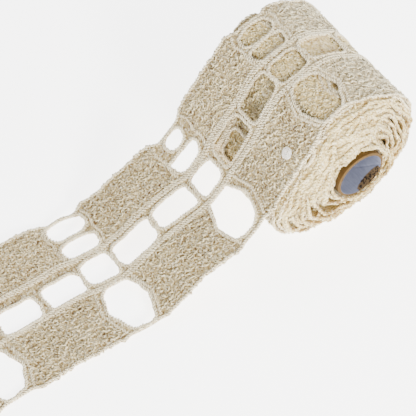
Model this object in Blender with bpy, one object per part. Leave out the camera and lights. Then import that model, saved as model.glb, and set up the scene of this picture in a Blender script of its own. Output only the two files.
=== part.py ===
"""Roll of crochet-look lace trim wound on a cardboard tube, with its loose end laid out.

Frame: the roll's axis runs along Y, with the end that shows at -Y. The loose end leaves
the top of the roll and runs toward -X, and +Z is up. The surface that it rests on is z = 0,
and the origin is the middle of the roll's flat spot. Sizes are in metres.
"""
import math

import bpy
import numpy as np

# ---- driving dimensions ----
MM = 0.001
AXIS_HEIGHT = 0.056          # tube axis above the surface
TUBE_RADIUS = 0.0176
TUBE_WALL = 0.0018
TUBE_NEAR_Y = -0.057
TUBE_LENGTH = 0.104
FIT_GAP = 0.0004             # room left between pieces that touch
LACE_THICK = 0.002
REPEAT = 0.092               # length of one repeat of the lace
GROUP_X = -0.0745            # where the first row of holes off the roll lies
LACE_START_U = -0.875        # where the outermost turn becomes the loose end, in repeats
LACE_END_U = 2.27            # its free end, in repeats past the first row of holes

ROLL_COLUMNS = 72
TUBE_SIDES = 48
RUN_SAMPLES = 3000           # points at which the loose end's length is added up
SHARP_ANGLE = 35.0           # edges that turn more than this are shaded sharp, degrees
STEP_BACK = 0.9              # the outermost turn stops this short of the loose end, degrees
STEP_LEAN = 0.2              # angle that the step itself takes up, degrees

# Section of the wound roll: angle from +X toward +Z in degrees, radius in millimetres.
# It starts under the root of the loose end, goes down the slack side, the sagging lower left
# and the flat spot, and comes back up the round right-hand side to the outermost turn's step.
ROLL_SECTION = (
    (113.0, 52.6), (124.0, 50.2), (136.0, 46.6), (150.0, 44.8), (165.0, 47.5),
    (180.0, 54.0), (195.0, 60.0), (208.0, 63.0), (220.0, 62.4), (233.0, 59.2),
    (246.0, 57.5), (260.0, 57.2), (282.0, 57.2), (300.0, 56.6), (330.0, 55.0),
    (360.0, 54.2), (400.0, 54.2), (425.0, 55.2), (448.0, 56.8), (464.0, 56.9),
    (470.0, 56.4), (479.0, 54.7),
)

# Profile from the near mouth of the bore over the roll to its far mouth: share of the way
# from bore to outside, and distance along Y from the near end of the tube in millimetres.
# Each turn is wound a little further along the tube than the one inside it.
ROLL_PROFILE = (
    (0.00, 2.6), (0.12, 1.9), (0.30, 1.8), (0.45, 3.2), (0.60, 5.4), (0.72, 7.4),
    (0.82, 9.2), (0.90, 11.2), (0.95, 13.4), (0.98, 14.6), (1.00, 16.2),
    (1.00, 46.0), (1.00, 80.0), (1.00, 110.2), (0.97, 111.6), (0.90, 110.8), (0.82, 109.4),
    (0.72, 107.6), (0.60, 106.0), (0.45, 104.8), (0.30, 104.2), (0.00, 103.2),
)
# Waves of the wound edges round the roll: how many, their phase in radians, height in mm.
ROLL_WAVES = ((1, 2.1, 2.0), (2, 0.6, 0.9), (5, 0.0, 0.5))

# Run of the loose end, seen along the axis: x and z of its middle, in millimetres.
LOOSE_RUN = (
    (0, 112.0), (-14, 110.2), (-26, 103.0), (-36, 90.5), (-48, 73.0), (-62, 55.5),
    (-78, 41.5), (-98, 28.5), (-117, 18.0), (-134, 9.8), (-152, 4.0), (-172, 1.0),
    (-200, 1.0), (-300, 1.0),
)

# Edges of the loose end: repeats past the first row of holes, near and far edge in Y, mm.
LOOSE_EDGES = (
    (-1.3, -44.0, 53.0), (-0.8, -46.0, 53.3), (-0.5, -47.5, 53.5), (0.0, -45.5, 54.0),
    (0.5, -45.0, 57.0), (1.0, -45.0, 61.5), (1.5, -45.5, 62.5), (2.3, -45.0, 63.0),
)
EDGE_PINCH = 3.2 * MM        # how far the edges draw in at a row of holes
PINCH_REACH = 0.10           # in repeats

# Low swells that keep the loose end from lying dead flat: where along and across it is
# raised, how far that reaches along and across, and the height in millimetres.
SWELLS = (
    (0.45, 0.00, 0.30, 0.25, 2.0), (1.50, 0.05, 0.28, 0.22, 2.2), (1.45, 0.98, 0.25, 0.20, 1.6),
    (0.92, 0.20, 0.20, 0.18, 1.2), (2.05, 0.45, 0.25, 0.30, 1.0), (-0.30, 0.10, 0.25, 0.25, 1.5),
)

# One row of holes: distance across the lace from 0 at its far edge to 1 at its near edge,
# and half the width of the holes along it, in repeats.
HOLE_ROWS = (
    (0.000, 0.095), (0.030, 0.095), (0.065, 0.135), (0.100, 0.145), (0.140, 0.135),
    (0.175, 0.100), (0.200, 0.125), (0.260, 0.140), (0.325, 0.112), (0.380, 0.112),
    (0.475, 0.120), (0.570, 0.112), (0.615, 0.095), (0.700, 0.130), (0.785, 0.160),
    (0.880, 0.125), (0.980, 0.085), (1.000, 0.085),
)
# The holes between those levels: far and near end across the lace.
OUTER_HOLE = (0.030, 0.175)
INNER_HOLE = (0.200, 0.325)
SQUARE_HOLE = (0.380, 0.570)
LARGE_HOLE = (0.615, 0.980)
# The ladder between two rows of holes: bars at its ends and one in its middle. All its sizes
# along the lace are in repeats, and its ends are where the holes are at the ladder's middle.
LADDER = (0.380, 0.570)
LADDER_MIDDLE = 0.475
END_BAR = 0.032
MIDDLE_BAR = (0.482, 0.518)
# Straight lines across the lace between two rows of holes, where its facets meet.
PANEL_LINES = (0.215, 0.300, 0.390, *MIDDLE_BAR, 0.610, 0.700, 0.785)
END_CLEAR = 0.012            # no such line comes nearer than this to the root or the free end
ON_LINE = 1e-6


def clear_scene():
    for item in list(bpy.data.objects):
        bpy.data.objects.remove(item, do_unlink=True)


def smooth_table(x, xs, ys):
    """Cubic through the rows of a table, with slopes held back so that it can't overshoot."""
    xs = np.asarray(xs, float)
    ys = np.asarray(ys, float)
    steps = np.diff(xs)
    grads = np.diff(ys) / steps
    slopes = np.zeros(len(xs))
    slopes[0], slopes[-1] = grads[0], grads[-1]
    rising = grads[:-1] * grads[1:] > 0
    mean = 2.0 * grads[:-1] * grads[1:] / np.where(rising, grads[:-1] + grads[1:], 1.0)
    slopes[1:-1] = np.where(rising, mean, 0.0)
    x = np.clip(np.asarray(x, float), xs[0], xs[-1])
    k = np.clip(np.searchsorted(xs, x, side="right") - 1, 0, len(xs) - 2)
    t = (x - xs[k]) / steps[k]
    lift = steps[k] * (slopes[k] * t * (1 - t) ** 2 - slopes[k + 1] * t ** 2 * (1 - t))
    return ys[k] + (ys[k + 1] - ys[k]) * t * t * (3 - 2 * t) + lift


def make_material(name, colour, roughness):
    material = bpy.data.materials.new(name)
    material.use_nodes = True
    shader = material.node_tree.nodes["Principled BSDF"]
    shader.inputs["Base Color"].default_value = (*colour, 1.0)
    shader.inputs["Roughness"].default_value = roughness
    shader.inputs["Metallic"].default_value = 0.0
    return material


def make_object(name, points, faces, material):
    mesh = bpy.data.meshes.new(name)
    mesh.from_pydata([tuple(p) for p in points], [], faces)
    mesh.update()
    mesh.materials.append(material)
    mesh.shade_smooth()
    mesh.set_sharp_from_angle(angle=math.radians(SHARP_ANGLE))
    made = bpy.data.objects.new(name, mesh)
    bpy.context.scene.collection.objects.link(made)
    return made


def ring_faces(columns, rows):
    """Quads of a closed surface whose grid wraps both round the axis and round its profile."""
    faces = []
    for i in range(columns):
        for j in range(rows):
            i2 = (i + 1) % columns
            j2 = (j + 1) % rows
            faces.append((i * rows + j, i * rows + j2, i2 * rows + j2, i2 * rows + j))
    return faces


# ---- cardboard tube ----
def make_tube(material):
    inner = TUBE_RADIUS - TUBE_WALL
    far_y = TUBE_NEAR_Y + TUBE_LENGTH
    profile = ((inner, TUBE_NEAR_Y), (TUBE_RADIUS, TUBE_NEAR_Y), (TUBE_RADIUS, far_y), (inner, far_y))
    points = []
    for i in range(TUBE_SIDES):
        angle = 2.0 * math.pi * i / TUBE_SIDES
        for radius, y in profile:
            points.append((radius * math.cos(angle), y, AXIS_HEIGHT + radius * math.sin(angle)))
    return make_object("core_tube", points, ring_faces(TUBE_SIDES, len(profile)), material)


# ---- the line that the loose end follows ----
class LooseRun:
    """The loose end's middle line by its length from the roll's top, and its upward normal."""

    def __init__(self):
        rows = np.array(LOOSE_RUN, float) * MM
        self.x = np.linspace(rows[0, 0], rows[-1, 0], RUN_SAMPLES)
        self.z = smooth_table(-self.x, -rows[:, 0], rows[:, 1])
        self.length = np.concatenate(([0.0], np.cumsum(np.hypot(np.diff(self.x), np.diff(self.z)))))
        self.group_at = float(np.interp(-GROUP_X, -self.x, self.length))

    def at(self, repeats):
        s = self.group_at + repeats * REPEAT
        x = np.interp(s, self.length, self.x)
        z = np.interp(s, self.length, self.z)
        ahead_x = np.interp(s + MM, self.length, self.x) - np.interp(s - MM, self.length, self.x)
        ahead_z = np.interp(s + MM, self.length, self.z) - np.interp(s - MM, self.length, self.z)
        size = math.hypot(ahead_x, ahead_z)
        return x, z, ahead_z / size, -ahead_x / size

    def root_angle(self):
        x, z, _, _ = self.at(LACE_START_U)
        return math.degrees(math.atan2(z - AXIS_HEIGHT, x))


# ---- wound lace ----
def roll_radius(angle):
    rows = np.array(ROLL_SECTION)
    return smooth_table(angle, rows[:, 0], rows[:, 1] * MM)


def make_roll(material):
    """Section swept round the axis: each column of points follows the end-to-end profile."""
    bore = TUBE_RADIUS + FIT_GAP
    step = LooseRun().root_angle() - STEP_BACK
    points = []
    for angle in np.linspace(step, step + 360.0 - STEP_LEAN, ROLL_COLUMNS):
        outside = float(roll_radius(angle))
        turn = math.radians(angle)
        for share, along in ROLL_PROFILE:
            radius = bore + share * (outside - bore)
            wave = sum(size * math.sin(count * turn + phase) for count, phase, size in ROLL_WAVES)
            y = TUBE_NEAR_Y + (along + share * wave) * MM
            z = AXIS_HEIGHT + radius * math.sin(turn)
            points.append((radius * math.cos(turn), y, max(z, 0.0)))
    return make_object("lace_roll", points, ring_faces(ROLL_COLUMNS, len(ROLL_PROFILE)), material)


# ---- loose end ----
def edge_lines(repeats):
    rows = np.array(LOOSE_EDGES)
    near = smooth_table(repeats, rows[:, 0], rows[:, 1] * MM)
    far = smooth_table(repeats, rows[:, 0], rows[:, 2] * MM)
    to_group = abs(repeats - round(repeats))
    pinch = EDGE_PINCH * math.exp(-(to_group / PINCH_REACH) ** 2)
    return near + pinch, far - pinch


def swell_height(repeats, across):
    height = 0.0
    for along_at, across_at, along_reach, across_reach, size in SWELLS:
        height += size * MM * math.exp(-((repeats - along_at) / along_reach) ** 2
                                       - ((across - across_at) / across_reach) ** 2)
    return height


def half_hole(across):
    rows = np.array(HOLE_ROWS)
    return float(np.interp(across, rows[:, 0], rows[:, 1]))


HALF_LADDER_HOLE = half_hole(LADDER_MIDDLE)


def column_lines(first, last):
    """Lines across the lace from its root to its free end.

    Each is (row of holes, side, offset): side -1 or +1 follows the holes' outline and offset
    is added to it; side 0 is a straight line at that offset from the row of holes.
    """
    cuts = []
    for group in range(math.floor(first) - 1, math.ceil(last) + 1):
        for side in (-1, 1):
            cuts.append((group + side * HALF_LADDER_HOLE, group, side, 0.0))
            cuts.append((group + side * (HALF_LADDER_HOLE + END_BAR), group, side, side * END_BAR))
        for line in (-HALF_LADDER_HOLE / 2, 0.0, HALF_LADDER_HOLE / 2, *PANEL_LINES):
            cuts.append((group + line, group, 0, line))
    cuts = sorted(cut for cut in cuts if first + END_CLEAR < cut[0] < last - END_CLEAR)
    root = (first, 0, 0, first)
    tip = (last, 0, 0, last)
    return [root] + cuts + [tip]


def column_position(line, across):
    _, group, side, offset = line
    if side == 0:
        return group + offset
    return group + side * half_hole(across) + offset


def is_hole(at, far_side, near_side):
    """True where the cell centred at this many repeats, between two levels, is open."""
    def within(span):
        return span[0] - ON_LINE <= far_side and near_side <= span[1] + ON_LINE
    to_group = abs(at - round(at))
    if to_group < HALF_LADDER_HOLE:
        return any(within(span) for span in (OUTER_HOLE, INNER_HOLE, SQUARE_HOLE, LARGE_HOLE))
    place = at - math.floor(at)
    in_bar = to_group < HALF_LADDER_HOLE + END_BAR or MIDDLE_BAR[0] < place < MIDDLE_BAR[1]
    return within(LADDER) and not in_bar


def make_loose_end(material):
    run = LooseRun()
    first = LACE_START_U
    lines = column_lines(first, LACE_END_U)
    levels = [row[0] for row in HOLE_ROWS]
    last_row = len(levels)
    upper, lower = [], []
    for line in lines:
        for across in levels:
            at = min(max(column_position(line, across), first), LACE_END_U)
            x, z, normal_x, normal_z = run.at(at)
            near, far = edge_lines(at)
            y = far + (near - far) * across
            lift = swell_height(at, across)
            top = (x + normal_x * (LACE_THICK / 2 + lift), y, z + normal_z * (LACE_THICK / 2 + lift))
            base_z = max(z - normal_z * (LACE_THICK / 2 - lift), 0.0)
            upper.append(top)
            lower.append((x - normal_x * (LACE_THICK / 2 - lift), y, base_z))
    count = len(upper)
    kept = set()
    for i in range(len(lines) - 1):
        middle = (lines[i][0] + lines[i + 1][0]) / 2
        for j in range(last_row - 1):
            if not is_hole(middle, levels[j], levels[j + 1]):
                kept.add((i, j))
    faces = []
    for i, j in sorted(kept):
        a, b = i * last_row + j, (i + 1) * last_row + j
        faces.append((a, b, b + 1, a + 1))
        faces.append((a + 1 + count, b + 1 + count, b + count, a + count))
        sides = (((i - 1, j), (a, a + 1)), ((i + 1, j), (b + 1, b)),
                 ((i, j - 1), (b, a)), ((i, j + 1), (a + 1, b + 1)))
        for neighbour, (p, q) in sides:
            if neighbour not in kept:
                faces.append((p, q, q + count, p + count))
    used = sorted({index for face in faces for index in face})
    new_index = {old: new for new, old in enumerate(used)}
    points = upper + lower
    faces = [tuple(new_index[index] for index in face) for face in faces]
    return make_object("loose_end", [points[old] for old in used], faces, material)


clear_scene()
card = make_material("cardboard", (0.36, 0.25, 0.14), 0.85)
lace = make_material("lace", (0.62, 0.55, 0.43), 0.9)
make_tube(card)
make_roll(lace)
make_loose_end(lace)
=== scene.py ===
"""A roll of crochet-look cotton lace trim on a cardboard tube, its loose end laid out beside it.

The lace is one long strip. Every point of it has a place along the strip, in repeats of the
pattern from the first row of holes off the roll, and a place across it, from 0 at its far edge
to 1 at its near edge. One line, seen along the tube, carries the strip from the tube outward
through all the turns and down to the surface.
"""
import math

import bpy
import numpy as np
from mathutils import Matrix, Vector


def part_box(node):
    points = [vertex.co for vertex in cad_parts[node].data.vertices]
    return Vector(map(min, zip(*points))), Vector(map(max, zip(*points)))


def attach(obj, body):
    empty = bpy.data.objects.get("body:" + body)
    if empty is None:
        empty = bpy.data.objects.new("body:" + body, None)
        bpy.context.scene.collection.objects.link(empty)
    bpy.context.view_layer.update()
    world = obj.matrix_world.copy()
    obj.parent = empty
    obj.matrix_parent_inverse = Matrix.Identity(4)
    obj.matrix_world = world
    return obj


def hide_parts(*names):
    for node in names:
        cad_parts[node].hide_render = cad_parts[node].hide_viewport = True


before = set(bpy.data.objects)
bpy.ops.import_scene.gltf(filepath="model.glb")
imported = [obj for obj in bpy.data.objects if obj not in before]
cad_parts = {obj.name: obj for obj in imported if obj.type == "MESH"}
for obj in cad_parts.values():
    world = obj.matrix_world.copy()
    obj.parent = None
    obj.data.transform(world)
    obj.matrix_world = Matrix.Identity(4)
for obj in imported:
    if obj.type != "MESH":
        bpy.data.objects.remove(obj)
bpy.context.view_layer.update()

# ==== Cardboard tube ====
# A short paper tube wound in a spiral from strips of kraft board, lined with one ply of
# grey-blue paper. A strip of printed waste paper shows inside, just behind the mouth.
MM = 0.001
TUBE_WALL = 1.8 * MM
TUBE_SIDES = 128
TUBE_LIP = 0.35 * MM
WALL_STEPS = 24              # points along each wall
LIP_STEPS = 3                # points round each rounded corner of the rim
OUT_OF_ROUND = 0.10 * MM
TUBE_WRAP_PITCH = 11.0       # turns of the paper's spiral seam in a metre of tube
# At its near mouth the bore lies a little to one side, so that the rim is uneven in width.
BORE_SHIFT = 1.1 * MM
BORE_SHIFT_REACH = 12.0 * MM
BORE_SHIFT_ANGLE = math.radians(301.0)
tube_low, tube_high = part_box("core_tube")
TUBE_RADIUS = (tube_high.x - tube_low.x) / 2
AXIS_HEIGHT = (tube_high.z + tube_low.z) / 2
TUBE_NEAR_Y = tube_low.y
TUBE_FAR_Y = tube_high.y


def new_piece(name, points, faces, material, uv=None, **values):
    """Mesh object from an array of points, one of faces with equal corners, and point values."""
    mesh = bpy.data.meshes.new(name)
    count, corners = faces.shape
    mesh.vertices.add(len(points))
    mesh.vertices.foreach_set("co", np.ascontiguousarray(points, np.float32).ravel())
    mesh.loops.add(count * corners)
    mesh.loops.foreach_set("vertex_index", np.ascontiguousarray(faces, np.int32).ravel())
    mesh.polygons.add(count)
    mesh.polygons.foreach_set("loop_start", np.arange(0, count * corners, corners, dtype=np.int32))
    mesh.update(calc_edges=True)
    mesh.validate()
    mesh.shade_smooth()
    if uv is not None:
        layer = mesh.uv_layers.new(name="chart")
        layer.uv.foreach_set("vector", np.ascontiguousarray(uv[faces.ravel()], np.float32).ravel())
    for key, value in values.items():
        attribute = mesh.attributes.new(key, "FLOAT", "POINT")
        attribute.data.foreach_set("value", np.ascontiguousarray(value, np.float32).ravel())
    mesh.materials.append(material)
    piece = bpy.data.objects.new(name, mesh)
    bpy.context.scene.collection.objects.link(piece)
    return piece


def wrapped_grid(columns, rows):
    """Quads between the points of a grid that closes round both its columns and its rows."""
    i = np.arange(columns)[:, None]
    j = np.arange(rows)[None, :]
    i2, j2 = (i + 1) % columns, (j + 1) % rows
    corners = (i * rows + j, i * rows + j2, i2 * rows + j2, i2 * rows + j)
    return np.stack(corners, -1).reshape(-1, 4)


class Socket:
    """One output of a material's node tree. Arithmetic on it adds Math nodes."""

    def __init__(self, tree, output=None):
        self.tree = tree
        self.output = output

    def node(self, kind, settings=None, inputs=None, output=0):
        """New node of this type: its settings, then the values or links of its sockets."""
        made = self.tree.nodes.new(kind)
        for name, value in (settings or {}).items():
            setattr(made, name, value)
        for key, value in (inputs or {}).items():
            if isinstance(value, Socket):
                self.tree.links.new(value.output, made.inputs[key])
            else:
                made.inputs[key].default_value = value
        return Socket(self.tree, made.outputs[output])

    def math(self, operation, a, b=0.0):
        return self.node("ShaderNodeMath", {"operation": operation}, {0: a, 1: b})

    def mix(self, factor, a, b):
        """Colour a where factor is 0 and b where it is 1."""
        a, b = (c if isinstance(c, Socket) else (*c, 1.0) for c in (a, b))
        return self.node("ShaderNodeMix", {"data_type": "RGBA"}, {0: factor, 6: a, 7: b}, output=2)

    def step(self, value, low, high):
        """Smooth rise from 0 at low to 1 at high."""
        settings = {"interpolation_type": "SMOOTHSTEP"}
        return self.node("ShaderNodeMapRange", settings, {0: value, 1: low, 2: high})

    def noise(self, vector, scale, detail=3.0, roughness=0.5):
        inputs = {"Vector": vector, "Scale": scale, "Detail": detail, "Roughness": roughness}
        return self.node("ShaderNodeTexNoise", None, inputs)

    def attribute(self, name):
        return self.node("ShaderNodeAttribute", {"attribute_name": name}, output=2)

    def __add__(self, other):
        return self.math("ADD", self, other)

    def __sub__(self, other):
        return self.math("SUBTRACT", self, other)

    def __rsub__(self, other):
        return self.math("SUBTRACT", other, self)

    def __mul__(self, other):
        return self.math("MULTIPLY", self, other)

    __radd__ = __add__
    __rmul__ = __mul__


def new_material(name, **constants):
    """Material with one Principled shader, its constant sockets set; returns it with its tree."""
    material = bpy.data.materials.new(name)
    material.use_nodes = True
    shader = material.node_tree.nodes["Principled BSDF"]
    for key, value in constants.items():
        shader.inputs[key.replace("_", " ")].default_value = value
    return material, Socket(material.node_tree), shader


def connect(socket, shader, name):
    socket.tree.links.new(socket.output, shader.inputs[name])


def tube_material():
    """Kraft board outside and on the rim, grey-blue lining inside with a band of dark print:
    small pale marks between the cells of a fine Voronoi pattern, on a strip with a bowed edge."""
    material, tree, shader = new_material("kraft_board", Roughness=0.88, Specular_IOR_Level=0.2)
    where = tree.node("ShaderNodeTexCoord", output=3)
    chart = tree.node("ShaderNodeUVMap", {"uv_map": "chart"})
    round_tube, along = (
        tree.node("ShaderNodeSeparateXYZ", None, {0: chart}, output=axis) for axis in (0, 1))
    lengthwise = tree.node("ShaderNodeMapping", None, {0: where, 3: (1.0, 0.25, 1.0)})
    fibre = tree.noise(lengthwise, 900.0, 4.0)
    blotch = tree.noise(where, 90.0, 3.0)
    kraft = tree.mix(fibre, (0.042, 0.020, 0.0035), (0.105, 0.058, 0.012))
    kraft = tree.mix(tree.step(blotch, 0.45, 0.75) * 0.5, kraft, (0.036, 0.017, 0.004))
    seam = tree.math("FRACT", round_tube + along * TUBE_WRAP_PITCH)
    seam = tree.step(tree.math("ABSOLUTE", seam - 0.5), 0.485, 0.497)
    kraft = tree.mix(seam * 0.6, kraft, (0.12, 0.055, 0.02))
    lining = tree.mix(fibre, (0.10, 0.112, 0.165), (0.19, 0.20, 0.275))
    lining = tree.mix(tree.step(blotch, 0.5, 0.8) * 0.4, lining, (0.24, 0.25, 0.32))
    cells = tree.node("ShaderNodeTexVoronoi", {"feature": "F1"}, {"Vector": where, "Scale": 720.0})
    marks = tree.step(cells + fibre * 0.35, 0.58, 0.74)
    print_colour = tree.mix(marks, (0.014, 0.009, 0.005), (0.105, 0.068, 0.035))
    bow = tree.math("POWER", (round_tube - 0.857) * 8.0, 2.0)
    band = 1 - tree.step(along + fibre * 0.001 + bow * 0.0045, 0.0056, 0.0066)
    ends = tree.step(round_tube, 0.742, 0.752) * (1 - tree.step(round_tube, 0.962, 0.972))
    lining = tree.mix(band * ends, lining, print_colour)
    colour = tree.mix(tree.attribute("inside"), kraft, lining)
    connect(colour, shader, "Base Color")
    relief = fibre * 0.5 + blotch * 0.3 - seam
    inputs = {"Strength": 0.5, "Distance": 0.0003, "Height": relief}
    connect(tree.node("ShaderNodeBump", None, inputs), shader, "Normal")
    return material


def make_tube():
    """Profile of two walls with rounded lips, turned round the axis and a little out of round."""
    lip = np.linspace(0.0, math.pi / 2, LIP_STEPS + 1)[1:]
    outer, inner = TUBE_RADIUS, TUBE_RADIUS - TUBE_WALL
    straight = np.linspace(TUBE_NEAR_Y + TUBE_LIP, TUBE_FAR_Y - TUBE_LIP, WALL_STEPS)
    near_y = TUBE_NEAR_Y + TUBE_LIP - TUBE_LIP * np.sin(lip)
    far_y = TUBE_FAR_Y - TUBE_LIP + TUBE_LIP * np.sin(lip)
    drop = TUBE_LIP * (1 - np.cos(lip))
    radius = np.concatenate((np.full(WALL_STEPS, outer), outer - drop, (inner + drop)[::-1],
                             np.full(WALL_STEPS, inner), inner + drop, (outer - drop)[::-1]))
    y = np.concatenate((straight, far_y, far_y[::-1], straight[::-1], near_y, near_y[::-1]))
    rim = 2 * LIP_STEPS - 1
    inside = np.concatenate((np.zeros(WALL_STEPS + rim), np.ones(WALL_STEPS + 2), np.zeros(rim)))
    angle = np.arange(TUBE_SIDES)[:, None] * 2 * math.pi / TUBE_SIDES
    worn = OUT_OF_ROUND * (np.sin(2 * angle + 0.7) + 0.6 * np.sin(5 * angle + 260.0 * y[None, :]))
    radius = radius[None, :] + worn
    inner_half = np.concatenate((np.zeros(WALL_STEPS + LIP_STEPS), np.ones(WALL_STEPS + 2 * LIP_STEPS),
                                 np.zeros(LIP_STEPS)))
    bore = (inner_half * np.exp(-(y - TUBE_NEAR_Y) / BORE_SHIFT_REACH))[None, :] * BORE_SHIFT
    x = radius * np.cos(angle) + bore * math.cos(BORE_SHIFT_ANGLE)
    z = AXIS_HEIGHT + radius * np.sin(angle) + bore * math.sin(BORE_SHIFT_ANGLE)
    points = np.stack((x, np.broadcast_to(y, radius.shape), z), -1)
    share = np.broadcast_to(angle / (2 * math.pi), radius.shape)
    uv = np.stack((share, np.broadcast_to(y - TUBE_NEAR_Y, radius.shape)), -1)
    faces = wrapped_grid(TUBE_SIDES, len(y))
    inside = np.broadcast_to(inside, radius.shape)
    return new_piece("tube_card", points.reshape(-1, 3), faces, tube_material(),
                     uv.reshape(-1, 2), inside=inside)


tube = make_tube()
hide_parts("core_tube")
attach(tube, "root")

# ==== Wound lace ====
# Twelve turns of thick cotton lace. Rows of openings repeat along it: two ovals, a square and a
# large six-sided hole, with a ladder of long gaps between the squares. Corded edges border
# every opening, and rows of looped stitches fill the panels between.
REPEAT = 92.0 * MM
WIDTH = 100.0 * MM           # of the strip before it is drawn in or spread
ROOT = -0.875                # where the strip leaves the roll, in repeats
FREE_END = 2.27
TURNS = 12.0
HALF_THICK = 0.8 * MM
SINK = 1.5 * MM              # the strip's middle lies this far inside the roll's outer surface
REST = 0.25 * MM             # nothing comes nearer to the surface than this

# Section of the roll: angle from +X toward +Z in degrees, radius in millimetres.
ROLL_SECTION = np.array((
    (113.0, 52.6), (124.0, 50.2), (136.0, 46.6), (150.0, 44.8), (165.0, 47.5),
    (180.0, 54.0), (195.0, 60.0), (208.0, 63.0), (220.0, 62.4), (233.0, 59.2),
    (246.0, 57.5), (260.0, 57.2), (282.0, 57.2), (300.0, 56.6), (330.0, 55.0),
    (360.0, 54.2), (400.0, 54.2), (425.0, 55.2), (448.0, 56.8), (464.0, 56.9),
    (470.0, 56.4), (479.0, 54.7),
))
# Turns inward from the outermost, and the share of the roll's radius that each keeps.
WINDING = np.array((
    (0, 1.000), (1, 0.957), (2, 0.915), (3, 0.868), (4, 0.812), (5, 0.745), (6, 0.665),
    (7, 0.570), (8, 0.460), (9, 0.330), (10, 0.185), (11, 0.020), (12, 0.000),
))
# Line of the loose end: x and z in millimetres.
LOOSE_LINE = np.array((
    (0, 112.0), (-14, 110.2), (-26, 103.0), (-36, 90.5), (-48, 73.0), (-62, 55.5),
    (-78, 41.5), (-98, 28.5), (-117, 18.0), (-134, 9.8), (-152, 4.0), (-172, 1.0),
    (-200, 1.0), (-300, 1.0),
))
FIRST_ROW_X = -0.0745
# Edges of the loose end: repeats, near and far edge in Y, millimetres.
LOOSE_EDGES = np.array((
    (-0.875, -45.7, 53.2), (-0.5, -47.3, 53.5), (-0.2, -47.8, 53.8), (0.0, -50.3, 53.6),
    (0.12, -50.6, 52.9), (0.35, -46.4, 53.6), (0.5, -44.5, 54.4), (0.7, -45.9, 54.8),
    (0.9, -49.0, 58.6), (1.05, -47.6, 61.5), (1.25, -43.9, 61.8), (1.5, -44.0, 61.2),
    (2.3, -45.0, 61.6),
))
# Edges of the wound turns: turns inward from the root, near edge from the tube's near end and
# width of the strip in millimetres, how far the edges wander, and how much further back they
# lie on one side of the roll.
WOUND_EDGES = np.array((
    (0.0, 11.3, 98.9, 0.3, 0.0), (0.12, 13.4, 97.0, 0.5, 0.6), (0.6, 14.4, 96.6, 0.6, 1.6),
    (1.1, 13.8, 97.0, 0.7, 1.6), (1.6, 14.2, 97.0, 0.9, 2.2), (2.0, 11.2, 97.6, 1.1, 3.2),
    (2.5, 10.8, 98.0, 1.2, 4.0), (3.5, 10.0, 98.4, 1.2, 3.9), (5.0, 8.4, 99.2, 1.2, 3.4),
    (6.5, 6.6, 100.0, 1.2, 2.6), (8.0, 4.6, 101.0, 1.1, 1.8), (9.5, 2.6, 101.5, 0.9, 0.9),
    (11.0, 1.6, 101.4, 0.4, 0.0), (12.0, 1.4, 101.2, 0.2, 0.0),
))
BACK_SIDE = 0.4              # that side, as a share of a turn from the root
EDGE_PINCH = 4.2 * MM
PINCH_REACH = 0.145
# How far the near edges of the inner turns lean inward: turns inward, millimetres.
DROOP = np.array((
    (0.8, 0.0), (1.2, 0.7), (2.1, 1.1), (4.0, 1.8), (6.0, 2.8), (8.0, 3.8), (10.0, 4.8),
    (10.9, 5.2), (11.2, 0.0), (12.0, 0.0),
))
DROOP_REACH = 0.06           # of the width
# Seen from the near end, the innermost turns cover the tube's rim at the lower right and lie
# back from it at the upper left.
CORE_SKEW = 2.6 * MM
CORE_SKEW_FROM = 9.5         # turns inward
FLUTTER = 0.9 * MM           # of the wound turns' edges
FLUTTER_REACH = 0.10
RIPPLE = 0.35 * MM           # slight waves of the whole strip
# Low swells of the loose end: along, across, reach along, reach across, height in millimetres.
SWELLS = (
    (0.45, 0.00, 0.30, 0.25, 2.0), (1.50, 0.05, 0.28, 0.22, 2.2), (1.45, 0.98, 0.25, 0.20, 1.6),
    (0.92, 0.20, 0.20, 0.18, 1.2), (2.05, 0.45, 0.25, 0.30, 1.0), (-0.30, 0.10, 0.25, 0.25, 1.5),
)


def smooth_table(x, xs, ys):
    """Cubic through the rows of a table, with slopes held back so that it can't overshoot."""
    steps = np.diff(xs)
    grads = np.diff(ys) / steps
    slopes = np.concatenate((grads[:1], np.zeros(len(xs) - 2), grads[-1:]))
    rising = grads[:-1] * grads[1:] > 0
    mean = 2.0 * grads[:-1] * grads[1:] / np.where(rising, grads[:-1] + grads[1:], 1.0)
    slopes[1:-1] = np.where(rising, mean, 0.0)
    x = np.clip(x, xs[0], xs[-1])
    k = np.clip(np.searchsorted(xs, x, side="right") - 1, 0, len(xs) - 2)
    t = (x - xs[k]) / steps[k]
    lift = steps[k] * (slopes[k] * t * (1 - t) ** 2 - slopes[k + 1] * t ** 2 * (1 - t))
    return ys[k] + (ys[k + 1] - ys[k]) * t * t * (3 - 2 * t) + lift


SOFTEN_SPAN = 12             # samples of the line on each side
SOFTEN_REACH = 5.0
TUBE_CLEARANCE = 0.8 * MM    # between the tube and the innermost turn


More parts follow.
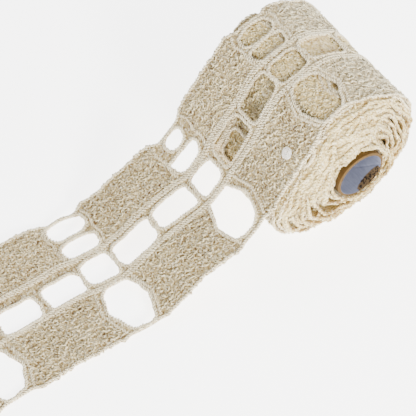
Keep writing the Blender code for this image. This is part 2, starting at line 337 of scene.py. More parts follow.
def strip_line():
    """Line of the strip's middle from its inner end to its free end, sampled every half mm.

    The wound part is a spiral: at each angle the section's radius is shared out over the
    turns. The loose part follows its own table. Both are joined and softened as one line.
    Returns length in repeats, x, z and turns inward from the root.
    """
    fine = np.linspace(LOOSE_LINE[0, 0], LOOSE_LINE[-1, 0], 4000)
    loose_x = fine * MM
    loose_z = smooth_table(-fine, -LOOSE_LINE[:, 0], LOOSE_LINE[:, 1]) * MM
    length = np.concatenate(([0.0], np.cumsum(np.hypot(np.diff(loose_x), np.diff(loose_z)))))
    root_length = np.interp(-FIRST_ROW_X, -loose_x, length) + ROOT * REPEAT
    root_x = np.interp(root_length, length, loose_x)
    root_z = np.interp(root_length, length, loose_z)
    root_angle = math.degrees(math.atan2(root_z - AXIS_HEIGHT, root_x))
    inward = np.linspace(TURNS, 0.0, 9000)
    turn = np.floor(inward)
    angle = root_angle + 360.0 * (1.0 - (inward - turn))
    outside = smooth_table(angle, ROLL_SECTION[:, 0], ROLL_SECTION[:, 1] * MM) - SINK
    bore = TUBE_RADIUS + HALF_THICK + TUBE_CLEARANCE
    radius = bore + (outside - bore) * np.interp(turn, WINDING[:, 0], WINDING[:, 1])
    wound_x = radius * np.cos(np.radians(angle))
    wound_z = AXIS_HEIGHT + radius * np.sin(np.radians(angle))
    after = length > root_length
    x = np.concatenate((wound_x, loose_x[after]))
    z = np.concatenate((wound_z, loose_z[after]))
    inward = np.concatenate((inward, np.zeros(after.sum())))
    along = np.concatenate(([0.0], np.cumsum(np.hypot(np.diff(x), np.diff(z)))))
    even = np.arange(0.0, along[-1], 0.5 * MM)
    x, z, inward = (np.interp(even, along, values) for values in (x, z, inward))
    kernel = np.exp(-(np.arange(-SOFTEN_SPAN, SOFTEN_SPAN + 1) / SOFTEN_REACH) ** 2)
    kernel /= kernel.sum()
    x, z = (np.convolve(np.pad(values, SOFTEN_SPAN, mode="reflect", reflect_type="odd"), kernel, "valid")
            for values in (x, z))
    first_row = np.interp(-FIRST_ROW_X, -x[inward == 0.0], even[inward == 0.0])
    return (even - first_row) / REPEAT, x, z, inward


LINE_U, LINE_X, LINE_Z, LINE_INWARD = strip_line()
INNER_END = float(LINE_U[2])
ONE_TURN_IN, TWO_TURNS_IN, THREE_TURNS_IN = (
    float(np.interp(-turns, -LINE_INWARD, LINE_U)) for turns in (1, 2, 3))


def edge_lines(u):
    """Near and far edge of the strip in Y: tables on the roll and off it, drawn in at the rows
    of holes, wandering in uneven waves on the wound turns."""
    inward = np.interp(u, LINE_U, LINE_INWARD)
    near = smooth_table(inward, WOUND_EDGES[:, 0], WOUND_EDGES[:, 1] * MM) + TUBE_NEAR_Y
    back = smooth_table(inward, WOUND_EDGES[:, 0], WOUND_EDGES[:, 4] * MM)
    near = near + back * np.cos(2 * math.pi * (inward - BACK_SIDE))
    far = near + smooth_table(inward, WOUND_EDGES[:, 0], WOUND_EDGES[:, 2] * MM)
    wander = smooth_table(inward, WOUND_EDGES[:, 0], WOUND_EDGES[:, 3] * MM)
    wander *= np.clip((ROOT - u) / 0.4, 0.0, 1.0)
    near = near + wander * (np.sin(14.3 * u) + 0.6 * np.sin(23.9 * u + 1.0))
    far = far + wander * (np.sin(12.1 * u + 2.0) + 0.6 * np.sin(27.3 * u))
    loose = u > ROOT
    near = np.where(loose, smooth_table(u, LOOSE_EDGES[:, 0], LOOSE_EDGES[:, 1] * MM), near)
    far = np.where(loose, smooth_table(u, LOOSE_EDGES[:, 0], LOOSE_EDGES[:, 2] * MM), far)
    pinch = EDGE_PINCH / (1.0 + ((u - np.round(u)) / PINCH_REACH) ** 8)
    skew = CORE_SKEW * np.clip(inward - CORE_SKEW_FROM, 0.0, 1.0) * np.cos(2 * math.pi * inward)
    return near + 0.5 * pinch + skew, far - pinch


def sway(u, v):
    """Height of the strip over its line: the loose end's swells and slight waves, and the
    flutter of the wound turns' edges."""
    height = RIPPLE * np.sin(7.0 * u + 5.0 * v) * np.sin(9.0 * v + 3.0 * u + 1.0)
    for along_at, across_at, along_reach, across_reach, size in SWELLS:
        height = height + size * MM * np.exp(-((u - along_at) / along_reach) ** 2
                                             - ((v - across_at) / across_reach) ** 2)
    inward = np.interp(u, LINE_U, LINE_INWARD)
    edge = np.exp(-(1.0 - v) / FLUTTER_REACH) + np.exp(-v / FLUTTER_REACH)
    waves = np.sin(16.1 * u + 1.3 * np.sin(3.7 * u)) + 0.5 * np.sin(29.0 * u + 0.6)
    droop = np.interp(inward, DROOP[:, 0], DROOP[:, 1] * MM)
    height = height - droop * np.exp(-(1.0 - v) / DROOP_REACH)
    amount = np.clip(inward - 0.8, 0.0, 1.4) * np.clip((TURNS - inward) / 2.0, 0.0, 1.0)
    return height + FLUTTER * amount * edge * waves


DIRECTION_STEP = 0.012       # repeats


def place(u, v, lift):
    """Points of the strip in space, and its outward normals: along the line, across between
    the edge lines, and raised along the line's outward normal. The line's direction at a place
    is the step from a little before it to a little past it."""
    x, z = np.interp(u, LINE_U, LINE_X), np.interp(u, LINE_U, LINE_Z)
    past, before = u + DIRECTION_STEP, u - DIRECTION_STEP
    tangent_x = np.interp(past, LINE_U, LINE_X) - np.interp(before, LINE_U, LINE_X)
    tangent_z = np.interp(past, LINE_U, LINE_Z) - np.interp(before, LINE_U, LINE_Z)
    size = np.hypot(tangent_x, tangent_z)
    normal = np.stack((tangent_z / size, np.zeros_like(size), -tangent_x / size), -1)
    near, far = edge_lines(u)
    points = np.stack((x, far + (near - far) * v, z), -1)
    points = points + normal * (lift + sway(u, v))[..., None]
    points[..., 2] = np.maximum(points[..., 2], REST)
    return points, normal


# Openings of one repeat: middle along and across, half size along (repeats) and across,
# squareness, bevel of the corners, and taper toward the near edge.
OPENINGS = np.array((
    (0.000, 0.101, 0.142, 0.073, 2.6, 0.00, 0.00),
    (0.000, 0.263, 0.134, 0.062, 3.2, 0.00, 0.12),
    (0.000, 0.475, 0.116, 0.094, 4.5, 0.00, 0.00),
    (0.000, 0.800, 0.158, 0.184, 7.0, 0.42, 0.00),
    (0.313, 0.468, 0.163, 0.092, 6.0, 0.00, 0.00),
    (0.684, 0.468, 0.166, 0.092, 6.0, 0.00, 0.00),
))
# The square and the gaps of the ladder. Further in than LADDER_FILLED, in repeats, turns lie
# over them, and they are filled with stitches.
LADDER_OPENINGS = (2, 4, 5)
LADDER_FILLED = -4.17
LADDER_BAND = (0.36, 0.58)
# Openings that are pulled out of shape: row, opening, shift along and across, sizes.
PULLED = (
    (0, 0, -0.002, -0.015, 0.56, 0.80), (0, 1, 0.018, -0.017, 0.94, 0.95),
    (0, 2, 0.010, -0.010, 0.93, 0.98), (0, 3, 0.028, -0.016, 1.03, 0.96),
    (0, 4, 0.006, 0.000, 0.98, 0.90), (0, 5, 0.002, 0.008, 1.00, 0.97),
    (1, 0, 0.008, -0.016, 0.99, 0.98), (1, 1, 0.002, -0.008, 1.00, 1.00),
    (1, 2, 0.002, -0.006, 0.99, 1.00), (1, 3, -0.009, -0.010, 0.98, 0.98),
    (1, 4, -0.016, 0.034, 0.90, 0.90), (1, 5, -0.020, 0.036, 0.94, 0.88),
    (-1, 0, 0.000, 0.006, 0.88, 0.95),
    (2, 0, 0.010, 0.000, 1.05, 0.96),
)
ROWS_BEFORE = 40             # rows of holes counted before the first one off the roll
ragged = np.random.default_rng(11)
UNEVEN = np.ones((ROWS_BEFORE + 5, len(OPENINGS), 4))
UNEVEN[..., :2] = ragged.uniform(-0.006, 0.006, UNEVEN[..., :2].shape)
UNEVEN[..., 2:] = ragged.uniform(0.93, 1.04, UNEVEN[..., 2:].shape)
for row, opening, *change in PULLED:
    UNEVEN[row + ROWS_BEFORE, opening] = change


def opening_size(x, y, opening, row):
    """How far out of an opening's middle a point is, 1 on its outline: a rounded rectangle,
    or one with bevelled corners, by adding powers of the two distances. Waves round the
    outline, other ones in each row, make it uneven."""
    squareness, bevel, taper = OPENINGS[opening, 4:]
    turn = np.arctan2(y, x)
    uneven_by = 1.0 + 0.030 * np.sin(3 * turn + 2.4 * row + opening) + 0.020 * np.sin(
        7 * turn + 4.1 * row + 2 * opening) + 0.013 * np.sin(13 * turn + 1.7 * row)
    lean = uneven_by * (1.0 + taper * y / (np.abs(x) + np.abs(y) + 1e-9))
    x, y = np.abs(x) * lean, np.abs(y) * uneven_by
    return ((x + bevel * y) ** squareness + y ** squareness) ** (1.0 / squareness)


FAR_AWAY = 1.0               # metres: no opening near


def to_opening(u, v):
    """Distance from the nearest opening's outline, positive on the lace: how far out each
    point is, over how fast that grows there. The hidden inner turns are left whole."""
    nearest = np.full(np.shape(u), FAR_AWAY)
    step = 0.02 * MM
    for opening, (along, across, half_along, half_across, *_) in enumerate(OPENINGS):
        row = np.round(u - along).astype(int)
        shift_u, shift_v, size_u, size_v = np.moveaxis(UNEVEN[row + ROWS_BEFORE, opening], -1, 0)
        half_x, half_y = half_along * size_u * REPEAT, half_across * size_v * WIDTH
        x = (u - row - along - shift_u) * REPEAT
        y = (v - across - shift_v) * WIDTH
        size = opening_size(x / half_x, y / half_y, opening, row)
        grow_x = opening_size((x + step) / half_x, y / half_y, opening, row) - size
        grow_y = opening_size(x / half_x, (y + step) / half_y, opening, row) - size
        away = (size - 1.0) * step / np.maximum(np.hypot(grow_x, grow_y), 1e-9)
        if opening in LADDER_OPENINGS:
            away = np.where(u < LADDER_FILLED, FAR_AWAY, away)
        nearest = np.minimum(nearest, away)
    return np.where(u < TWO_TURNS_IN, FAR_AWAY, nearest)


def edge_bumps(u, side):
    """How far the ragged outer edge stands out beyond 0 or 1 across: small loops side by side
    along the panels, of uneven height, and none at the rows of holes."""
    to_row = np.abs(u - np.round(u))
    panel = np.clip((to_row - 0.12) / 0.05, 0.0, 1.0)
    loops = np.abs(np.sin(u * math.pi / 0.052 + 2.1 * side)) ** 0.7
    tall = 0.55 + 0.45 * np.sin(17.3 * u + 3.0 * side) * np.sin(41.0 * u + side)
    small = 0.35 * np.sin(163.0 * u + 4.0 * side) * np.sin(59.0 * u)
    return panel * (1.7 * loops * tall + 0.5 * np.sin(9.7 * u + 2.0 * side) + small) * MM


def to_edge(u, v):
    """Distance from the nearest opening or ragged outer edge, positive on the lace."""
    far = v * WIDTH + edge_bumps(u, 0)
    near = (1.0 - v) * WIDTH + edge_bumps(u, 1)
    return np.minimum(to_opening(u, v), np.minimum(far, near))


ROUNDED_WITHIN = 3.2 * MM    # of the rim, where the ground gets thinner
RIM_MOVES = 3
RIM_MOVE_LIMIT = 1.0 * MM


def ground_sheet(name, along, across, material):
    """Closed sheet of the lace's ground, cut along the openings.

    Grid cells whose middle is on the lace are kept, and the points round them are moved onto
    the outline, where the upper and the lower face meet. Elsewhere the thickness rounds up
    from that rim and rises and falls with the stitches. The two ends are closed by walls.
    """
    u, v = np.meshgrid(along, across, indexing="ij")
    middle_u, middle_v = (u[1:, 1:] + u[:-1, :-1]) / 2, (v[1:, 1:] + v[:-1, :-1]) / 2
    keep = to_edge(middle_u, middle_v) > 0.0
    padded = np.pad(np.pad(keep, ((1, 1), (0, 0)), mode="edge"), ((0, 0), (1, 1)))
    around = np.stack((padded[1:, 1:], padded[:-1, 1:], padded[1:, :-1], padded[:-1, :-1]))
    used, rim = around.any(0), around.any(0) & ~around.all(0)
    keep &= ~(rim[1:, 1:] & rim[:-1, 1:] & rim[1:, :-1] & rim[:-1, :-1])
    step = 0.0004            # in repeats, and in widths
    for _ in range(RIM_MOVES):
        away = to_edge(u, v)
        grow_u = (to_edge(u + step, v) - away) / (step * REPEAT)
        grow_v = (to_edge(u, v + step) - away) / (step * WIDTH)
        scale = np.where(rim, away / np.maximum(grow_u ** 2 + grow_v ** 2, 0.2), 0.0)
        scale = np.clip(scale, -RIM_MOVE_LIMIT, RIM_MOVE_LIMIT)
        move_u = scale * grow_u / REPEAT
        move_u[[0, -1]] = 0.0
        u, v = u - move_u, v - scale * grow_v / WIDTH
    inside = np.clip(to_edge(u, v) / ROUNDED_WITHIN, 0.0, 1.0)
    rounding = np.sqrt(1.0 - (1.0 - inside) ** 2)
    knobs = 0.8 + 0.2 * np.sin(u * 2 * math.pi / 0.021) * np.sin(v * 2 * math.pi / 0.033)
    half = np.where(rim, 0.0, HALF_THICK * rounding * knobs)
    upper, _ = place(u, v, half)
    lower, _ = place(u, v, -half)
    count = int(used.sum())
    top_index = np.cumsum(used.ravel()).reshape(used.shape) - 1
    both = used & ~rim
    low_index = np.where(rim, top_index, count + np.cumsum(both.ravel()).reshape(used.shape) - 1)
    quads = []
    for index, flip in ((top_index, False), (low_index, True)):
        corners = [index[:-1, :-1][keep], index[1:, :-1][keep],
                   index[1:, 1:][keep], index[:-1, 1:][keep]]
        quads.append(np.stack(corners[::-1] if flip else corners, -1))
    for end, flip in ((0, False), (-1, True)):
        row = keep[end]
        corners = [top_index[end, :-1][row], top_index[end, 1:][row],
                   low_index[end, 1:][row], low_index[end, :-1][row]]
        quads.append(np.stack(corners[::-1] if flip else corners, -1))
    quads = np.concatenate(quads)
    faces = np.concatenate((quads[:, (0, 1, 2)], quads[:, (0, 2, 3)]))
    distinct = (faces != np.roll(faces, 1, axis=1)).all(1)
    points = np.concatenate((upper[used], lower[both]))
    uv = np.stack((u, v), -1)
    uv = np.concatenate((uv[used], uv[both]))
    faces = faces[distinct]
    wanted = np.zeros(len(points), bool)
    wanted[faces.ravel()] = True
    number = np.cumsum(wanted) - 1
    return new_piece(name, points[wanted], number[faces], material, uv[wanted])


def yarn(centres, normals, radius, sides, closed):
    """Rings of points round lines of equal length, each ring square to its line.

    centres and normals are arrays of lines by points by 3; radius is one number or one for
    each point. An open line has four sides: its ends are drawn in and closed by one quad each.
    Returns points, quads and how far each point stands up on its ring, from -1 to 1.
    """
    lines, length, _ = centres.shape
    if closed:
        tangent = np.roll(centres, -1, 1) - np.roll(centres, 1, 1)
    else:
        tangent = np.gradient(centres, axis=1)
        radius = np.broadcast_to(radius, (lines, length)).copy()
        radius[:, [0, -1]] *= 0.05
    tangent /= np.maximum(np.linalg.norm(tangent, axis=-1, keepdims=True), 1e-9)
    side = np.cross(tangent, normals)
    side /= np.maximum(np.linalg.norm(side, axis=-1, keepdims=True), 1e-9)
    over = np.cross(side, tangent)
    turn = np.arange(sides) * 2 * math.pi / sides
    size = np.broadcast_to(radius, (lines, length))[..., None, None]
    rings = centres[:, :, None] + size * (np.cos(turn)[:, None] * side[:, :, None]
                                          + np.sin(turn)[:, None] * over[:, :, None])
    quads = wrapped_grid(length, sides)
    if not closed:
        ring = np.arange(sides)
        caps = np.stack((ring[::-1], ring + (length - 1) * sides))
        quads = np.concatenate((quads[:(length - 1) * sides], caps))
    first = np.arange(lines)[:, None, None] * (length * sides)
    upright = np.sign((over * normals).sum(-1))[..., None]
    crest = np.broadcast_to(np.sin(turn), (lines, length, sides)) * upright
    return rings.reshape(-1, 3), (quads[None] + first).reshape(-1, 4), crest


CREST = 2.0 * MM             # height over the strip's middle that counts as 1


def on_strip(u, v, lift, radius, sides, closed):
    """Yarn along lines given by place along, place across and height over the strip's middle.
    Returns points, quads and how high each point is raised: 0 at the middle, 1 at the crests."""
    centres, normals = place(u, v, lift)
    points, quads, crest = yarn(centres, normals, radius, sides, closed)
    points[:, 2] = np.maximum(points[:, 2], REST / 4)
    raised = (np.broadcast_to(lift, u.shape)[..., None] + np.mean(radius) * crest) / CREST
    return points, quads, raised.ravel()


STRANDS = 2
KNOBS = 0.40                 # how much a strand swells and thins along its twist, as a share
FLATTENED = 0.8              # height of a twisted cord, as a share of its width


def twisted(u, v, lift, closed, coil, thickness, pitch, sides=4):
    """Strands wound round each other along lines on the strip.

    Each strand's middle goes round the line in a helix: across the line by the cosine of its
    turn and up by the sine, and swells twice a turn. A whole number of turns fits a closed line.
    """
    if closed:
        ahead_u, ahead_v = (np.roll(line, -1, 1) - np.roll(line, 1, 1) for line in (u, v))
        steps = np.hypot((np.roll(u, -1, 1) - u) * REPEAT, (np.roll(v, -1, 1) - v) * WIDTH)
    else:
        ahead_u, ahead_v = np.gradient(u, axis=1), np.gradient(v, axis=1)
        steps = np.hypot(ahead_u * REPEAT, ahead_v * WIDTH)
    run = np.cumsum(steps, 1) - steps
    turns = run / pitch
    if closed:
        whole = np.maximum(np.round(steps.sum(1, keepdims=True) / pitch), 1.0)
        turns = run / steps.sum(1, keepdims=True) * whole
    across_x, across_y = -ahead_v * WIDTH, ahead_u * REPEAT
    size = np.maximum(np.hypot(across_x, across_y), 1e-9)
    parts = []
    for strand in range(STRANDS):
        phase = 2 * math.pi * (turns + strand / STRANDS)
        out = coil * np.cos(phase)
        strand_u = u + out * across_x / size / REPEAT
        strand_v = v + out * across_y / size / WIDTH
        strand_lift = lift + coil * np.sin(phase) * FLATTENED
        swollen = thickness * (1.0 + KNOBS * np.sin(2 * phase + 0.8))
        parts.append(on_strip(strand_u, strand_v, strand_lift, swollen, sides, closed))
    return parts


def join(parts):
    """One array of points and one of faces from several."""
    starts = np.cumsum([0] + [len(part[0]) for part in parts[:-1]])
    return (np.concatenate([part[0] for part in parts]),
            np.concatenate([part[1] + start for part, start in zip(parts, starts)]),
            np.concatenate([part[2] for part in parts]))


def evenly(u, v, spacing):
    """Closed line taken again at equal steps, about this far apart."""
    u, v = np.append(u, u[0]), np.append(v, v[0])
    run = np.concatenate(([0.0], np.cumsum(np.hypot(np.diff(u) * REPEAT, np.diff(v) * WIDTH))))
    count = max(int(round(run[-1] / spacing)), 12)
    at = np.arange(count) * run[-1] / count
    return np.interp(at, run, u), np.interp(at, run, v)


def outline(row, opening, away, spacing):
    """Line round one opening, this far outside it: at each angle the opening's size function
    gives the distance to its outline, and the outline is moved out square to itself."""
    along, across, half_along, half_across = OPENINGS[opening, :4]
    shift_u, shift_v, size_u, size_v = UNEVEN[row + ROWS_BEFORE, opening]
    half_x, half_y = half_along * size_u * REPEAT, half_across * size_v * WIDTH
    angle = np.linspace(0.0, 2 * math.pi, 240, endpoint=False)
    x, y = np.cos(angle) * half_x, np.sin(angle) * half_y
    size = opening_size(x / half_x, y / half_y, opening, row)
    x, y = x / size, y / size
    ahead_x, ahead_y = np.roll(x, -1) - np.roll(x, 1), np.roll(y, -1) - np.roll(y, 1)
    length = np.hypot(ahead_x, ahead_y)
    x, y = x + away * ahead_y / length, y - away * ahead_x / length
    u = row + along + shift_u + x / REPEAT
    v = across + shift_v + y / WIDTH
    return evenly(u, v, spacing)


CORD_LIFT = 0.65 * MM        # middle of a cord over the strip's middle
CORD_COIL = 0.82 * MM        # middle of a strand from the middle of its cord
CORD_THREAD = 0.64 * MM      # radius of a strand
CORD_PITCH = 3.9 * MM
CORD_OUT = 0.95 * MM         # middle of a cord from the opening's outline


def opening_cords(first, last, spacing):
    """Twisted cords round every opening whose middle lies between two places."""
    parts = []
    for row in range(math.floor(first) - 1, math.ceil(last) + 1):
        for opening, (along, *_) in enumerate(OPENINGS):
            filled = opening in LADDER_OPENINGS and row + along < LADDER_FILLED
            if first <= row + along < last and not filled:
                u, v = outline(row, opening, CORD_OUT, spacing)
                parts += twisted(u[None], v[None], CORD_LIFT, True, CORD_COIL, CORD_THREAD,
                                 CORD_PITCH, sides=5)
    return parts


# Cords along the strip: place across, coil and thread size and pitch in millimetres.
LONG_CORDS = (
    (0.009, 0.80, 0.64, 3.9), (0.326, 0.72, 0.62, 4.1), (0.345, 0.80, 0.64, 4.4),
    (0.591, 0.80, 0.64, 4.4), (0.610, 0.72, 0.62, 4.1), (0.991, 0.80, 0.64, 4.0),
)


def long_cords(first, last, spacing):
    """Twisted cords that run along the outer edges and along both sides of the ladder."""
    parts = []
    u = np.linspace(first, last, int((last - first) * REPEAT / spacing))[None]
    for across, coil, strand, pitch in LONG_CORDS:
        v = across + 0.003 * np.sin(9.0 * u + 40.0 * across)
        if across < 0.1:
            v = v - edge_bumps(u, 0) / WIDTH
        if across > 0.9:
            v = v + edge_bumps(u, 1) / WIDTH
        parts += twisted(u, v, CORD_LIFT, False, coil * MM, strand * MM, pitch * MM)
    return parts


# Ends of the panels: place across, and distance from the row of holes in repeats.
PANEL_ENDS = np.array((
    (0.000, 0.120), (0.030, 0.130), (0.065, 0.150), (0.100, 0.158), (0.140, 0.150),
    (0.175, 0.135), (0.220, 0.148), (0.270, 0.150), (0.325, 0.128), (0.400, 0.125),
    (0.600, 0.115), (0.700, 0.145), (0.785, 0.174), (0.880, 0.145), (0.980, 0.105), (1.000, 0.105),
))
PANEL_BANDS = ((0.024, 0.316), (0.620, 0.978))
PANEL_CORD_OUT = 0.022       # repeats
PANEL_CORD_COIL = 0.68 * MM
PANEL_CORD_PITCH = 4.0 * MM
STITCHES_START = 0.042       # repeats from the panel's end
STITCH_ROW = 2.25 * MM
STITCH = 2.6 * MM
STITCH_POINTS = 5
LOOP_LEAN = 0.36             # how far a loop leans back along its row, in stitches
SHORTEST_ROW = 0.1           # repeats


def panel_end(v):
    return np.interp(v, PANEL_ENDS[:, 0], PANEL_ENDS[:, 1])


def panel_cords(first, last, spacing):
    """Twisted cords that edge both ends of every panel, beside the cords of the openings."""
    parts = []
    for row in range(math.floor(first) - 1, math.ceil(last) + 1):
        for low, high in PANEL_BANDS:
            v = np.linspace(low, high, int((high - low) * WIDTH / spacing))[None]
            for side in (-1, 1):
                u = row + side * (panel_end(v) + PANEL_CORD_OUT)
                if u.min() > first and u.max() < last:
                    parts += twisted(u, v, CORD_LIFT, False, PANEL_CORD_COIL, CORD_THREAD,
                                     PANEL_CORD_PITCH)
    return parts


def uneven(t, seed, size):
    """Smooth unevenness of about this size along t: three sines with drawn phases and rates."""
    draw = np.random.default_rng(seed)
    total = 0.0
    for rate in (19.0, 71.0, 173.0):
        rates = rate * draw.uniform(0.8, 1.2)
        total = total + np.sin(rates * t + draw.uniform(0, 6.28, (t.shape[0], 1)))
    return size * total / 2


def panel_stitches(first, last, bands):
    """Rows of looped stitches on every panel between two places.

    Each row is one yarn whose loops lean along the row: it goes forward steadily, and back
    and across by sines of its stitch count. All of it wanders a little.
    """
    parts = []
    for row in range(math.floor(first) - 1, math.ceil(last) + 1):
        for low, high in bands:
            count = max(int(round((high - low) * WIDTH / STITCH_ROW)), 1)
            across = low + (np.arange(count) + 0.5) * (high - low) / count
            start = np.maximum(row + panel_end(across) + STITCHES_START, first)
            end = np.minimum(row + 1 - panel_end(across) - STITCHES_START, last)
            fits = end - start > SHORTEST_ROW
            if not fits.any():
                continue
            start, end, across = start[fits, None], end[fits, None], across[fits, None]
            number = int(round((end - start).mean() * REPEAT / STITCH))
            t = np.linspace(0.0, 1.0, number * STITCH_POINTS + 1)
            t = np.broadcast_to(t, (len(start), len(t)))
            seed = (row + ROWS_BEFORE) * 7 + int(100 * low)
            phase = 2 * math.pi * number * t + uneven(t, seed, 2.6) + across * 77.0
            pitch = (end - start) / number
            u = start + (end - start) * t + pitch * LOOP_LEAN * np.sin(phase)
            tall = 0.55 + uneven(t, seed + 1, 0.45)
            tall = tall * np.cos(phase + 0.6) + uneven(t, seed + 2, 0.50)
            v = across + tall * STITCH_ROW / WIDTH
            lift = (0.66 + 0.46 * np.sin(phase + 1.9) + uneven(t, seed + 3, 0.60)) * MM
            thick = np.maximum(0.48 + uneven(t, seed + 4, 0.24), 0.2) * MM
            parts.append(on_strip(u, v, lift, thick, 4, False))
    return parts


def lace_material(name, light, middle, painted_shade_colour, raised):
    """Cotton thread: cream on the crests of the stitches and browner low down between them, which is
    painted shade, varying softly from place to place, with small brown specks of painted shade and
    pale specks of painted highlight, and the fine lines of spun thread as bump."""
    material, tree, shader = new_material(name, Roughness=0.9, Sheen_Weight=0.12,
                                          Sheen_Roughness=0.5)
    where = tree.node("ShaderNodeTexCoord", output=3)
    broad = tree.noise(where, 45.0, 3.0)
    fine = tree.noise(where, 560.0, 3.0, 0.6)
    speck = tree.noise(where, 850.0, 2.0)
    height = raised(tree) + (fine - 0.5) * 1.5 + (broad - 0.5) * 0.5
    colour = tree.mix(tree.step(height, -0.05, 0.40), painted_shade_colour, middle)
    colour = tree.mix(tree.step(height, 0.38, 0.85), colour, light)
    # Brown specks are painted shade where single threads lie deep; pale specks are painted highlight.
    shade_specks = 1 - tree.step(speck, 0.34, 0.43)
    colour = tree.mix(shade_specks * 0.9, colour, painted_shade_colour)
    colour = tree.mix(tree.step(speck, 0.55, 0.66) * 0.6, colour, (0.97, 0.93, 0.80))
    connect(colour, shader, "Base Color")
    inputs = {"Strength": 0.7, "Distance": 0.0004, "Height": fine * 0.6 + speck * 0.5}
    connect(tree.node("ShaderNodeBump", None, inputs), shader, "Normal")
    return material


def yarn_height(tree):
    return tree.attribute("raised")


# Noise in place of a height: patches of painted shade on the ground, at random.
def ground_shade_noise(tree):
    where = tree.node("ShaderNodeTexCoord", output=3)
    return tree.noise(where, 330.0, 2.0) * 1.7 - 0.42


# Thread of the stitches, cord that borders the openings, and the ground under both: colours on
# the crests, halfway down and deep between the stitches, the deep ones painted shade. The ground
# lies under the stitches and is darker throughout: painted shade between the stitches.
thread = lace_material("lace_thread", (0.82, 0.71, 0.44), (0.56, 0.445, 0.23),
                       (0.13, 0.068, 0.018), yarn_height)
cord = lace_material("lace_cord", (0.92, 0.82, 0.58), (0.70, 0.59, 0.36),
                     (0.22, 0.125, 0.045), yarn_height)
ground = lace_material("lace_ground", (0.61, 0.50, 0.27), (0.40, 0.295, 0.13),
                       (0.12, 0.065, 0.018), ground_shade_noise)
# On the roll's outside the lace is given lighter colours, with weaker painted shade between the
# stitches, so that less of its brown depth shows: a lit copy of the lace's colours, painted light.
lit_outer_thread = lace_material("lit_outer_thread", (0.84, 0.75, 0.51), (0.63, 0.53, 0.32),
                              (0.27, 0.185, 0.08), yarn_height)
lit_outer_ground = lace_material("lit_outer_ground", (0.66, 0.56, 0.34), (0.46, 0.365, 0.19),
                              (0.22, 0.145, 0.06), ground_shade_noise)
# The inner turns are given yellower and lighter colours, lightest deep between the stitches and on the
# ground: painted light that lifts the shade deep in the roll.
lit_inner_thread = lace_material("lit_inner_thread", (0.88, 0.755, 0.42), (0.66, 0.53, 0.24),
                            (0.27, 0.165, 0.05), yarn_height)
lit_inner_ground = lace_material("lit_inner_ground", (0.80, 0.655, 0.34), (0.62, 0.465, 0.19),
                            (0.30, 0.185, 0.055), ground_shade_noise)


def yarn_piece(name, parts, material):
    points, faces, raised = join(parts)
    return new_piece(name, points, faces, material, raised=raised)


def dress(name, first, last, bands, spacing=0.8 * MM, stitch_thread=thread):
    """Pieces of yarn on one stretch of the strip: its cords, and the stitches on its panels."""
    cords = (opening_cords(first, last, spacing) + long_cords(first, last, spacing)
             + panel_cords(first, last, spacing))
    return [yarn_piece(name + "_cords", cords, cord),
            yarn_piece(name + "_stitches", panel_stitches(first, last, bands), stitch_thread)]


def grid_lines(first, last, spacing, scale):
    """Even places from first to last, this far apart where scale is the length of 1."""
    return np.linspace(first, last, int(round((last - first) * scale / spacing)) + 1)


# Grids of the ground reach a little past the edges. The inner turns show only at their edges,
# so their grid is coarse between them.
outer_across = grid_lines(-0.02, 1.02, 1.2 * MM, WIDTH)
outer_turn = ground_sheet("outer_turn_ground", grid_lines(ONE_TURN_IN, ROOT, 1.3 * MM, REPEAT),
                          outer_across, lit_outer_ground)
inner_across = np.concatenate((grid_lines(-0.02, 0.10, 1.7 * MM, WIDTH),
                               grid_lines(0.10, 0.86, 7.0 * MM, WIDTH)[1:],
                               grid_lines(0.86, 1.02, 1.4 * MM, WIDTH)[1:]))
second_along = grid_lines(TWO_TURNS_IN, ONE_TURN_IN, 1.6 * MM, REPEAT)
second_turn = ground_sheet("second_turn_ground", second_along,
                           grid_lines(-0.02, 1.02, 1.6 * MM, WIDTH), lit_inner_ground)
inner_turns = ground_sheet("inner_turns_ground", grid_lines(INNER_END, TWO_TURNS_IN, 2.5 * MM, REPEAT),
                           inner_across, lit_inner_ground)
outer_yarns = dress("outer_turn", ONE_TURN_IN, ROOT, PANEL_BANDS, stitch_thread=lit_outer_thread)
second_yarns = dress("second_turn", TWO_TURNS_IN, ONE_TURN_IN, PANEL_BANDS + (LADDER_BAND,),
                     1.2 * MM, lit_inner_thread)
# Along both edges of the inner turns runs a heavy cord, and rows of stitches beside the near one.
EDGE_CORD = {"lift": 0.3 * MM, "closed": False, "coil": 0.85 * MM, "thickness": 0.95 * MM,
             "pitch": 5.2 * MM}
EDGE_CORDS_AT = (0.006, 0.994)
edge_parts = []
edge_u = grid_lines(INNER_END, TWO_TURNS_IN, 1.8 * MM, REPEAT)[None]
for edge in EDGE_CORDS_AT:
    edge_parts += twisted(edge_u, np.full_like(edge_u, edge), **EDGE_CORD)
for first, last, band in ((INNER_END, TWO_TURNS_IN, (0.90, 0.972)),
                          (THREE_TURNS_IN, TWO_TURNS_IN, (0.82, 0.90)),
                          (ONE_TURN_IN, LADDER_FILLED, LADDER_BAND)):
    edge_parts += panel_stitches(first, last, (band,))
inner_yarns = [yarn_piece("inner_turns_cords", edge_parts, lit_inner_thread)]
for piece in (outer_turn, second_turn, inner_turns, *outer_yarns, *second_yarns, *inner_yarns):
    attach(piece, "root")
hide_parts("lace_roll")

# ==== Loose end ====
# The last 29 centimetres of the same strip: it leaves the top of the roll, slopes down and
# lies flat to its cut end. Light falls through its openings.
loose_end = ground_sheet("loose_end_ground", grid_lines(ROOT, FREE_END, 1.3 * MM, REPEAT),
                         outer_across, ground)
loose_yarns = dress("loose_end", ROOT, FREE_END, PANEL_BANDS)
for piece in (loose_end, *loose_yarns):
    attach(piece, "root")
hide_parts("loose_end")

# ==== Pale rosette ====
# A small flat round of paler thread, wound from its middle outward and sewn on near the edge
# of the panel beside the roll.
ROSETTE_AT = (-0.567, 0.876)  # repeats along, share across
ROSETTE_TURNS = 4
ROSETTE_RADIUS = 3.9 * MM
ROSETTE_THREAD = 0.55 * MM
ROSETTE_LIFT = 2.3 * MM
ROSETTE_CROWN = 0.6 * MM


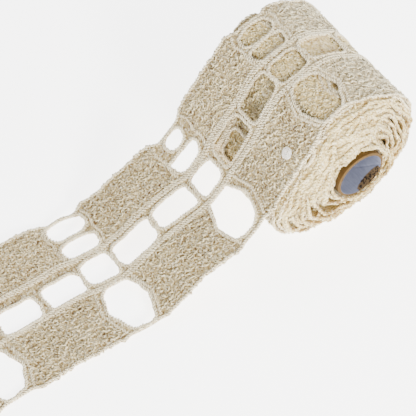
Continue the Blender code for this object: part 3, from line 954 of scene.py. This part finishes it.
def rosette_line():
    """Flat spiral, one thread's width further out each turn, raised a little at its middle."""
    turn = np.linspace(0.2, ROSETTE_TURNS, 36 * ROSETTE_TURNS)[None]
    out = ROSETTE_RADIUS * turn / ROSETTE_TURNS
    u = ROSETTE_AT[0] + out * np.cos(2 * math.pi * turn) / REPEAT
    v = ROSETTE_AT[1] + out * np.sin(2 * math.pi * turn) / WIDTH
    return u, v, ROSETTE_LIFT - ROSETTE_CROWN * (out / ROSETTE_RADIUS) ** 2


pale = lace_material("pale_thread", (0.98, 0.94, 0.86), (0.92, 0.86, 0.73),
                     (0.60, 0.50, 0.36), yarn_height)
rosette = yarn_piece("pale_rosette", [on_strip(*rosette_line(), ROSETTE_THREAD, 4, False)], pale)
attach(rosette, "root")

# ==== Floor, light and camera ====
# A white floor that glows softly, as a light table does, under a pale studio. One warm lamp
# stands at the roll's open end, with weaker ones above and low down.
FLOOR_DROP = 0.1 * MM
bpy.ops.mesh.primitive_plane_add(size=8.0, location=(0.0, 0.0, -FLOOR_DROP))
floor = bpy.context.object
floor.name = "floor"
floor_white, *_ = new_material("floor_white", Base_Color=(0.93, 0.93, 0.93, 1.0), Roughness=0.9,
                               Emission_Color=(1.0, 1.0, 1.0, 1.0), Emission_Strength=4.4)
floor.data.materials.append(floor_white)

world = bpy.data.worlds.new("studio")
bpy.context.scene.world = world
world.use_nodes = True
sky = world.node_tree.nodes["Background"]
sky.inputs["Color"].default_value = (1.0, 1.0, 1.0, 1.0)
sky.inputs["Strength"].default_value = 0.55


def put_facing(name, data, stands_at, target):
    """Lamp or camera at one place, turned so that its -Z runs to another, with its top up."""
    thing = bpy.data.objects.new(name, data)
    thing.location = stands_at
    gaze = np.array(target) - np.array(stands_at)
    thing.rotation_euler = (math.acos(-gaze[2] / np.linalg.norm(gaze)), 0.0,
                            math.atan2(-gaze[0], gaze[1]))
    bpy.context.scene.collection.objects.link(thing)
    return thing


def area_light(name, stands_at, size, power, colour=(1.0, 1.0, 1.0)):
    lamp = bpy.data.lights.new(name, "AREA")
    lamp.color = colour
    lamp.size = size
    lamp.energy = power
    put_facing(name, lamp, stands_at, (0.0, 0.0, 0.0))


area_light("key_light", (-0.3, -1.5, 0.75), 0.4, 62.0, (1.0, 0.98, 0.91))
area_light("top_light", (0.5, 0.5, 1.4), 0.8, 18.0)
area_light("low_light", (0.7, -1.2, 0.3), 0.5, 12.0)

CAMERA_AT = (-0.4799, -0.5748, 0.9492)
CAMERA_TARGET = (-0.0729, 0.0064, 0.0077)
lens = bpy.data.cameras.new("camera")
lens.lens = 155.77
lens.sensor_width = 36.0
bpy.context.scene.camera = put_facing("camera", lens, CAMERA_AT, CAMERA_TARGET)
